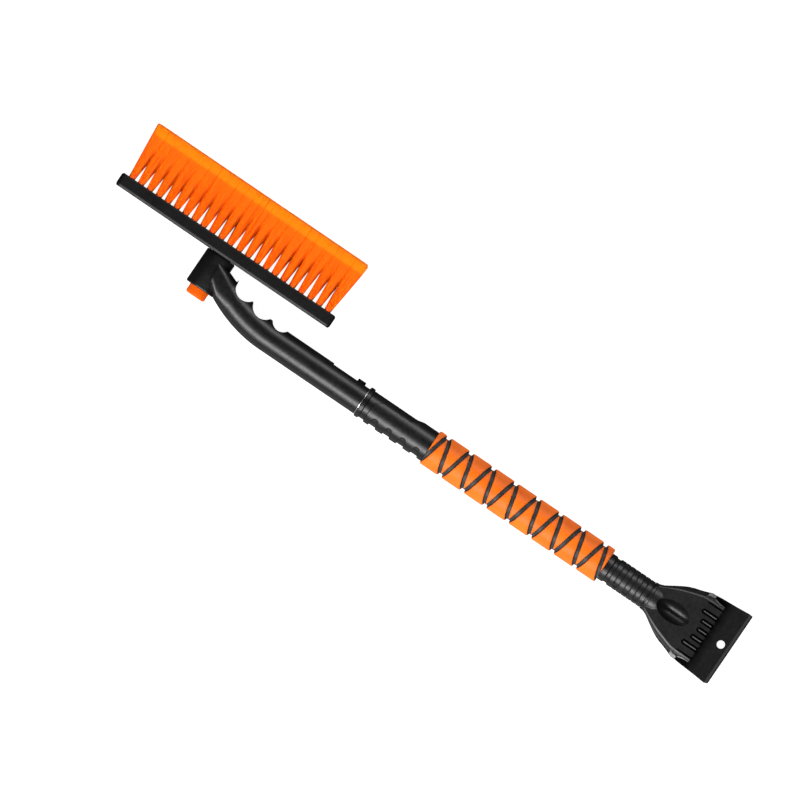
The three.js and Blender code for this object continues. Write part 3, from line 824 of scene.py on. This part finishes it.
def coil_points(foot, top, radius, turns, per_turn=28):
    """Points along a coil about the swivel axis."""
    points = []
    for i in range(turns * per_turn + 1):
        angle = 2 * math.pi * i / per_turn
        y = foot + (top - foot) * i / (turns * per_turn)
        points.append((SWIVEL_X + radius * math.cos(angle), y, radius * math.sin(angle)))
    return points


coil = wire("button_coil", coil_points(-4.0, 26.2, 5.4, 6), 0.5)
finish_piece(coil, SPRING_STEEL, "handle", "button_spring")
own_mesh(coil)


# ---------- core tube and snap button ----------
def core_tube():
    """The metal tube, with a low bead that shows at the joint and a hole for the snap button."""
    obj = piece("core_tube_metal", *turned(ring_profile(-106, 268, 9.2, CORE_R), "x", (0, 0), 0.4, 72))
    bead = [(-53.85, 11.0), (-53.85, 13.7), (-53.3, 13.7), (-53.3, 11.0)]
    boolean(obj, turned(bead, "x", (0, 0), 0.1, 72), "UNION")
    boolean(obj, rod(4, 20, SNAP_HOLE_R, "y", (SNAP_X, 0), 32), "DIFFERENCE")
    return obj


finish_piece(core_tube(), ALUMINIUM, "lower_half", "core_tube")

SNAP_PROFILE = [(6, 0.01), (6, 5.4), (7.2, 5.4), (7.2, 4.1), (15.4, 4.1), (15.4, 0.01)]
snap_button = piece("snap_button_nub", *turned(SNAP_PROFILE, "y", (SNAP_X, 0), 0.9, 48))
finish_piece(snap_button, HANDLE_BLACK, "snap", "snap_button")


# ---------- collar and lower grip ----------
collar = piece("collar_ring", *turned(ring_profile(-53.4, -48.6, SLEEVE_BORE, 15.3), "x", (0, 0), 1.3, 96))
finish_piece(collar, HANDLE_BLACK, "lower_half", "collar")


GRIP_START, GRIP_END = -48.9, 20.9
GRIP_R, PAD_R = 13.8, 15.3
RECESSES, RECESS_FIRST, RECESS_PITCH = 4, -33.6, 15.2


def grip_surface(x, angle):
    """Radius of the lower grip: a raised pad round its belly and sides, with four recesses."""
    height = np.cos(angle) * PAD_R
    left = -43.3 + 1.6 * smoothstep(0, 9.4, height) + 6.0 * smoothstep(5.0, 9.6, height)
    open_top = np.where(x < -7.5, 9.4, 9.4 + (x + 7.5) * 0.55)
    inside = smoothstep(0.0, 0.5, x - left) * smoothstep(0.0, 0.7, open_top - height)
    full = smoothstep(-3.0, 5.5, x)
    inside = np.maximum(inside, full * smoothstep(0.0, 0.5, x - left))
    for i in range(RECESSES):
        middle = RECESS_FIRST + i * RECESS_PITCH
        around = np.abs(angle - np.pi) * PAD_R
        arch = np.abs((x - middle) / 3.7) ** 3 + (around / 16.4) ** 4
        inside = inside * smoothstep(0.72, 1.12, arch)
    ends = smoothstep(-48.9, -48.4, x) * (1 - smoothstep(20.6, 20.9, x))
    return GRIP_R + (PAD_R - GRIP_R) * inside - 0.3 * (1 - ends)


grip = sleeve("lower_grip_shell", GRIP_START, GRIP_END, SLEEVE_BORE, grip_surface, 230, 220)
finish_piece(grip, GRIP_BLACK, "lower_half", "lower_grip")


# ---------- foam grip ----------
def foam_surface(x, angle):
    """Radius of the foam: two helical grooves of opposite hand, and rounded ends."""
    turn = angle / (2 * np.pi)
    depth = np.zeros_like(x)
    for hand in (1, -1):
        phase = (x - GROOVE_CROSSING) / GROOVE_PITCH - hand * turn
        off = np.abs(phase - np.round(phase)) * GROOVE_PITCH
        slope = GROOVE_PITCH / (2 * np.pi * FOAM_R)
        across = off / math.sqrt(1 + slope**2)
        depth = np.maximum(depth, 3.0 * (1 - smoothstep(1.5, 2.2, across)))
        depth = np.maximum(depth, 0.4 * (1 - smoothstep(2.2, 3.8, across)))
    ends = np.minimum(x - FOAM_START, FOAM_END - x)
    rounding = 1.5 * (1 - np.sqrt(np.clip(1 - (1 - np.clip(ends / 1.5, 0, 1)) ** 2, 0, 1)))
    return FOAM_R - np.maximum(depth, rounding)


foam = sleeve("foam_sleeve", FOAM_START, FOAM_END, SLEEVE_BORE, foam_surface, 400, 216)
finish_piece(foam, FOAM, "lower_half", "foam_grip")


# ---------- scraper head ----------
# Each station: place along the head, half width at its edge, half width of the flat face, half thickness.
HEAD_STATIONS = (
    (260, 14, 9.4, 9),
    (264, 14.4, 12.4, 10),
    (268, 16, 14.2, 10.6),
    (271.5, 18.2, 15.9, 10.9),
    (277, 21.7, 18.4, 11),
    (282.5, 25, 20.6, 10.9),
    (287, 27.3, 22.2, 10.7),
    (292, 29.2, 23.9, 10.3),
    (297, 30.6, 25.5, 9.8),
    (303, 32.6, 27.2, 8.8),
    (308, 34.6, 27.6, 8),
    (312.4, 34.7, 27.8, 7.4),
    (313.3, 32.0, 27.8, 7.2),
    (316, 31.2, 27.9, 6.8),
    (320, 30.4, 28, 6.2),
    (324.2, 30.1, 28.2, 5.6),
    (325.9, 29.8, 28.2, 2.2),
)
HEAD_X, HEAD_WIDE, HEAD_FACE, HEAD_THICK = zip(*HEAD_STATIONS)
DISH_X, DISH_HALF_LENGTH, DISH_HALF_WIDTH, DISH_DEEP = 287.8, 17.0, 9.7, 8.8
RIDGE_PITCH = 8.35
# Where the five channels begin along the head, from one side to the other.
CHANNEL_STARTS = (308.3, 312.4, 313.7, 312.4, 308.3)
BLADE_SCREW_X, BLADE_SCREW_Y = 306, 16


def bend(value, crisp):
    """Nothing below zero and the value above it, with a rounded turn between."""
    return np.logaddexp(0, crisp * value) / crisp


def face_height(x, y):
    """The flat face with a rounded crease along each side and a steep wall beyond it."""
    wide = np.interp(x, HEAD_X, HEAD_WIDE)
    face = np.interp(x, HEAD_X, HEAD_FACE)
    thick = np.interp(x, HEAD_X, HEAD_THICK)
    beyond = np.abs(y) - face
    facet = np.where(y < 0, 0.45, 0.53)
    flank = np.where(y < 0, 0.68, 1.0)
    band = np.minimum(2.7, 0.62 * (wide - face))
    wall = facet * bend(beyond + 0.75, 6) + (flank - facet) * bend(beyond - 0.75, 4)
    wall = wall + 4.0 * bend(beyond - band, 2.5)
    ledge_width = np.interp(x, (311.5, 313.5, WALL_FOOT), (3.3, 1.5, 1.2))
    ledge = 1.5 + facet * np.clip(np.abs(y) - (wide - ledge_width), 0, 4)
    shoulder = smoothstep(303.8, 305.4, x)
    drop = wall * (1 - shoulder) + np.minimum(wall, ledge) * shoulder
    lip = np.clip(1 - (wide - np.abs(y)) / 0.4, 0, 1)
    drop = drop + 0.4 * (1 - np.sqrt(1 - lip**2)) * shoulder
    return thick - drop


def neck_height(x, y):
    """The round neck, which runs on into the head and sinks below the flat face."""
    stop_ring = smoothstep(261.1, 261.5, x) * (1 - smoothstep(263.4, 264.2, x))
    radius = np.where(x < 261.2, 12.0, 13.75) + 0.55 * stop_ring
    sink = 12.0 * smoothstep(268, 293, x)
    return np.sqrt(np.clip(radius**2 - y**2, 0, None)) - sink


def head_height(x, y):
    """Height of the head's skin above its middle plane at a point of its outline."""
    face = face_height(x, y) - 6.0 * (1 - smoothstep(260.5, 263.5, x))
    gap = face - neck_height(x, y)
    return face + bend(-gap, 8)


def dish():
    """The oval thumb dish, a bowl with a flat middle and steep walls."""
    rings = []
    for reach in (0.04, 0.12, 0.2, 0.28, 0.36, 0.44, 0.52, 0.6, 0.68, 0.76, 0.84, 0.92, 1.0, 1.2):
        ring = []
        for i in range(72):
            angle = 2 * math.pi * i / 72
            x = DISH_X + DISH_HALF_LENGTH * reach * math.cos(angle)
            y = DISH_HALF_WIDTH * reach * math.sin(angle)
            rise = reach**2 - 1
            z = float(np.interp(x, HEAD_X, HEAD_THICK)) + DISH_DEEP * (4 * rise if rise > 0 else rise)
            ring.append((x, y, z))
        rings.append(ring)
    return loft(rings)


def head_columns(wide):
    """Places across the head, closest together over the creases at its sides."""
    inner = np.linspace(0, 0.52, 46)
    outer = np.linspace(0.52, 1, 60)[1:]
    one_side = np.concatenate([inner, outer])
    return np.concatenate([-one_side[:0:-1], one_side]) * wide


def channel(start, y, half, deep):
    """A cut of even depth along the face, open at the front, with a narrowed inner end."""
    plan = [(start, y - half * 0.5), (start + 1.6, y - half), (330, y - half)]
    plan += [(330, y + half), (start + 1.6, y + half), (start, y + half * 0.5)]
    floor_ring = [(px, py, float(np.interp(px, HEAD_X, HEAD_THICK)) - deep) for px, py in plan]
    return loft([floor_ring, [(px, py, 20.0) for px, py in plan]])


def ridge(start, y, half, rise, around=20):
    """A rounded bar along the face with a blunt nose; rise is how far it stands over the face."""
    stations = [(start, 0.3), (start + 0.3, 0.72), (start + 0.9, 0.95), (start + 1.6, 1.0)]
    stations += [(x, 1.0) for x in np.linspace(start + 3, HEAD_FRONT - 0.3, 6)]
    stations += [(HEAD_FRONT + 0.2, 0.8)]
    rings = []
    for x, size in stations:
        crown = float(np.interp(x, HEAD_X, HEAD_THICK)) + rise
        ring = []
        for i in range(around):
            angle = 2 * math.pi * i / around
            z = crown - 2.4 + 2.4 * size * math.sin(angle)
            ring.append((x, y + half * size * math.cos(angle), z))
        rings.append(ring)
    return loft(rings)


def head_skins():
    """Upper and lower skins over the same plan, joined round the parting line."""
    xs = np.concatenate(
        [
            np.linspace(HEAD_START, 268, 34)[:-1],
            np.linspace(268, 312.3, 104),
            np.linspace(312.4, 313.4, 6),
            np.linspace(313.8, HEAD_FRONT, 26),
            np.linspace(HEAD_FRONT + 0.15, WALL_FOOT, 5),
        ]
    )
    count = len(head_columns(1.0))
    verts = []
    for side in (1, -1):
        for x in xs:
            y = head_columns(float(np.interp(x, HEAD_X, HEAD_WIDE)))
            z = np.maximum(head_height(np.full_like(y, x), y), 0.9)
            verts += [(float(x), float(across), side * float(up)) for across, up in zip(y, z)]
    below = len(xs) * count
    faces = []
    for skin in (0, below):
        for i in range(len(xs) - 1):
            for a in range(skin + i * count, skin + (i + 1) * count - 1):
                faces.append((a, a + count, a + count + 1, a + 1))
    for edge in (0, count - 1):
        for a in range(edge, below - count, count):
            faces.append((a, a + count, below + a + count, below + a))
    for end in (0, below - count):
        for a in range(end, end + count - 1):
            faces.append((a, a + 1, below + a + 1, below + a))
    return verts, faces


def screw_seat(obj, x, y, seat_top, seat_r, hole_top, hole_r, sides):
    """Cuts a sunk seat and a hole for a screw that goes in from the underside."""
    boolean(obj, rod(-20, seat_top, seat_r, "z", (x, y), sides + 8), "DIFFERENCE")
    boolean(obj, rod(-20, hole_top, hole_r, "z", (x, y), sides), "DIFFERENCE")


def scraper_head():
    """The flared head with its thumb dish, front channels and ridges, and the slot for the blade."""
    obj = piece("scraper_head_shell", *head_skins(), sharp=32)
    boolean(obj, dish(), "DIFFERENCE")
    rows = [(start, (i - 2) * RIDGE_PITCH) for i, start in enumerate(CHANNEL_STARTS)]
    cuts = [channel(start, y, 2.55, 3.0) for start, y in rows]
    cuts += [channel(308.5, side * 25.7, 0.75, 1.6) for side in (1, -1)]
    boolean(obj, gather(cuts), "DIFFERENCE")
    boolean(obj, gather([ridge(start + 1.2, y, 1.1, -0.1) for start, y in rows]), "UNION")
    tube_bore = rod(HEAD_START - 1, 268.3, SLEEVE_BORE, "x", (0, 0), 64)
    tongue_slot = block(299.7, 330, -27.8, 27.8, -1.8, 1.8)
    blade_slot = block(311.7, 330, -40, 40, -1.8, 1.8)
    for cut in (tube_bore, tongue_slot, blade_slot):
        boolean(obj, cut, "DIFFERENCE")
    for y in (BLADE_SCREW_Y, -BLADE_SCREW_Y):
        screw_seat(obj, BLADE_SCREW_X, y, -5.5, 3.9, 5, 2.2, 24)
    shade(obj, 32)
    return obj


def paint_dish_shade(obj):
    """Gives the faces inside the thumb dish their own darker plastic: painted shade in the hollow."""
    obj.data.materials.append(DISH_PAINTED_SHADE)
    for polygon in obj.data.polygons:
        x = polygon.center.x * 1000
        y = (polygon.center.y - AXIS_Y) * 1000
        z = (polygon.center.z - AXIS_Z) * 1000
        inside = ((x - DISH_X) / DISH_HALF_LENGTH) ** 2 + (y / DISH_HALF_WIDTH) ** 2 < 1
        if inside and 0 < z < float(np.interp(x, HEAD_X, HEAD_THICK)) - 0.1:
            polygon.material_index = 1


head = finish_piece(scraper_head(), HEAD_BLACK, "lower_half", "scraper_head")
# painted shade inside the thumb dish
paint_dish_shade(head)

# ---------- ribbed neck ----------
NECK_WINDOWS = (230.7, 241.5, 252.3)
WINDOW_HALF = 2.6
NECK_SCREW_X = 217


def neck_surface(x, angle):
    """Radius of the ribbed neck: fine ring grooves, with a sunk window between each pair."""
    radius = np.full_like(x, NECK_R)
    up = np.abs(np.cos(angle)) * 13.4
    for centre in NECK_WINDOWS:
        for groove in (centre - WINDOW_HALF, centre + WINDOW_HALF):
            radius = radius - 0.5 * (1 - smoothstep(0.15, 0.75, np.abs(x - groove)))
        inside = 1 - smoothstep(WINDOW_HALF - 0.5, WINDOW_HALF - 0.1, np.abs(x - centre))
        inside = inside * (1 - smoothstep(11.35, 11.6, up))
        radius = radius - 1.1 * inside
    radius = radius - 1.2 * smoothstep(217.8, 219.4, x) * (1 - smoothstep(222.0, 223.5, x))
    return radius - 1.6 * smoothstep(259.6, 260.1, x)


def ribbed_neck():
    """The sleeve over the core tube, with a seat on its underside for the neck screw."""
    obj = sleeve("ribbed_neck_shell", NECK_START, NECK_END, SLEEVE_BORE, neck_surface, 220, 280)
    screw_seat(obj, NECK_SCREW_X, 0, -12.1, 3.3, -5, 1.9, 32)
    shade(obj, 50)
    return obj


finish_piece(ribbed_neck(), HEAD_BLACK, "lower_half", "scraper_head")


# ---------- blade ----------
def blade():
    """A flat plate that widens to its edge, with a bevelled front and a hanging hole."""
    stations = (
        (300.0, 27.5, BLADE_HALF_THICK),
        (311.9, 27.5, BLADE_HALF_THICK),
        (312.0, 34.7, BLADE_HALF_THICK),
        (318.0, 35.4, BLADE_HALF_THICK),
        (334.0, 36.4, BLADE_HALF_THICK),
        (345.9, 37.5, BLADE_HALF_THICK),
        (346.4, 37.5, 1.35),
        (349.3, 37.3, -0.25),
        (350.0, 36.8, -0.65),
    )
    low = -BLADE_HALF_THICK
    rings = []
    for x, half, top in stations:
        near = half - 0.9 * float(smoothstep(346, 350, x))
        rings.append([(x, -near, low), (x, half, low), (x, half, top), (x, -near, top)])
    obj = piece("blade_plate", *loft(rings), sharp=15)
    boolean(obj, rod(-5, 5, HANG_HOLE_R, "z", (HANG_HOLE_X, 0), 64), "DIFFERENCE")
    bevel = obj.modifiers.new("edges", "BEVEL")
    bevel.width = 0.00035
    bevel.segments = 2
    bevel.limit_method = "ANGLE"
    bevel.angle_limit = math.radians(30)
    shade(obj, 15)
    return obj


finish_piece(blade(), BLADE_BLACK, "lower_half", "blade")


# ---------- snap spring ----------
def leaf_spring():
    """A thin strip folded to a V inside the tube, pressing the snap button out."""
    path = [(6, 5.3), (-6, 4.9), (-16, 3.4), (-23, 1.0), (-26, -1.6), (-23, -4.4), (-14, -6.7), (6, -7.3)]
    rings = []
    for i, (x, y) in enumerate(path):
        ahead = Vector(path[min(i + 1, len(path) - 1)]) - Vector(path[max(i - 1, 0)])
        side = Vector((-ahead.y, ahead.x)).normalized() * 0.35
        ring = []
        for sign, z in ((1, -3.4), (1, 3.4), (-1, 3.4), (-1, -3.4)):
            ring.append((SNAP_X + x + sign * side.x, y + sign * side.y, z))
        rings.append(ring)
    return piece("snap_leaf", *loft(rings), sharp=50)


leaf = leaf_spring()
finish_piece(leaf, SPRING_STEEL, "lower_half", "snap_spring")
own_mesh(leaf)

# ---------- CAD pieces that keep their own shape ----------
KEPT = {
    "swivel_stem": HANDLE_BLACK,
    "stem_screw": STEEL,
    "retaining_ring": SPRING_STEEL,
    "button_bush": HANDLE_BLACK,
    "lock_spring": SPRING_STEEL,
    "blade_screw_1": STEEL,
    "blade_screw_2": STEEL,
    "neck_screw": STEEL,
}
for node, look in KEPT.items():
    for slot_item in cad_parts[node].material_slots:
        slot_item.link = "OBJECT"
        slot_item.material = look


# ---------- floor, light and camera ----------
def studio_object(name, verts, faces, look):
    """Something that stands round the part, from points in metres."""
    mesh = bpy.data.meshes.new(name)
    mesh.from_pydata(verts, [], faces)
    mesh.materials.append(look)
    return link_object(name, mesh)


def glowing(name, base, strength):
    """A matt material that also gives off white light."""
    made, nodes, links, shader = material(name)
    shader.inputs["Base Color"].default_value = (base, base, base, 1)
    shader.inputs["Roughness"].default_value = 0.9
    shader.inputs["Emission Color"].default_value = (1, 1, 1, 1)
    shader.inputs["Emission Strength"].default_value = strength
    return made, nodes, links, shader


def flat_square(x0, x1, y0, y1, z):
    return [(x0, y0, z), (x1, y0, z), (x1, y1, z), (x0, y1, z)], [(0, 1, 2, 3)]


def floor():
    """A plain pale floor, a little cloudy, that stays just white around the part."""
    look, nodes, links, shader = glowing("pale_floor", 0.2, 0.99)
    coords = nodes.new("ShaderNodeTexCoord").outputs["Object"]
    cloud = noise(nodes, links, coords, 700.0, 2.0)
    base = mix(nodes, links, cloud, (0.2, 0.2, 0.2), (0.22, 0.22, 0.22))
    links.new(base, shader.inputs["Base Color"])
    shader.inputs["Specular IOR Level"].default_value = 0.1
    obj = studio_object("floor", *flat_square(-6, 6, -6, 6, -0.0002), look)
    obj.visible_glossy = False


def near_card():
    """A white card on the floor along the near side, mirrored in the plastic's lower flanks."""
    look = glowing("white_card", 0.02, 0.4)[0]
    shape = flat_square(-1, 1, AXIS_Y - 0.5, AXIS_Y - 0.028, -0.0001)
    obj = studio_object("near_card", *shape, look)
    obj.visible_camera = False
    obj.visible_diffuse = False
    obj.visible_shadow = False


def backdrop():
    """A pale wall all round, seen only by the camera, so it adds no light of its own."""
    count = 64
    turns = [2 * math.pi * i / count for i in range(count)]
    verts = [(5.5 * math.cos(a), 5.5 * math.sin(a), z) for z in (-5.0, 6.0) for a in turns]
    faces = [(i, (i + 1) % count, count + (i + 1) % count, count + i) for i in range(count)]
    obj = studio_object("backdrop", verts, faces, glowing("pale_wall", 0.8, 1.0)[0])
    obj.visible_glossy = False
    obj.visible_diffuse = False
    obj.visible_shadow = False


def strip_light(name, tilt, distance, length, width, watts):
    """A long soft light parallel to the handle, tilted from overhead towards +Y by tilt degrees."""
    data = bpy.data.lights.new(name, "AREA")
    data.shape = "RECTANGLE"
    data.size = length
    data.size_y = width
    data.energy = watts
    angle = math.radians(tilt)
    obj = link_object(name, data)
    obj.location = (0, AXIS_Y + distance * math.sin(angle), distance * math.cos(angle))
    obj.rotation_euler = (-angle, 0, 0)


def studio_world(strength):
    """A faint even white light from everywhere."""
    world = bpy.data.worlds.new("studio")
    world.use_nodes = True
    background = world.node_tree.nodes["Background"]
    background.inputs["Color"].default_value = (1, 1, 1, 1)
    background.inputs["Strength"].default_value = strength
    return world


def camera_overhead(frame_width, x, y, turn):
    """A camera without perspective that looks straight down, turned by so many degrees."""
    data = bpy.data.cameras.new("camera")
    data.type = "ORTHO"
    data.ortho_scale = frame_width
    data.clip_end = 20
    obj = link_object("camera", data)
    obj.location = (x, y, 2.5)
    obj.rotation_euler = (0, 0, math.radians(turn))
    return obj


floor()
near_card()
backdrop()
strip_light("strong_strip", -47, 1.5, 2.4, 0.62, 60)
strip_light("weak_strip", 55.5, 1.5, 2.4, 0.55, 22.5)

bpy.context.scene.world = studio_world(0.03)
bpy.context.scene.camera = camera_overhead(0.7264, -0.0257, AXIS_Y + 0.0199, 34.2)
bpy.context.scene.view_settings.view_transform = "Standard"

bpy.context.view_layer.update()
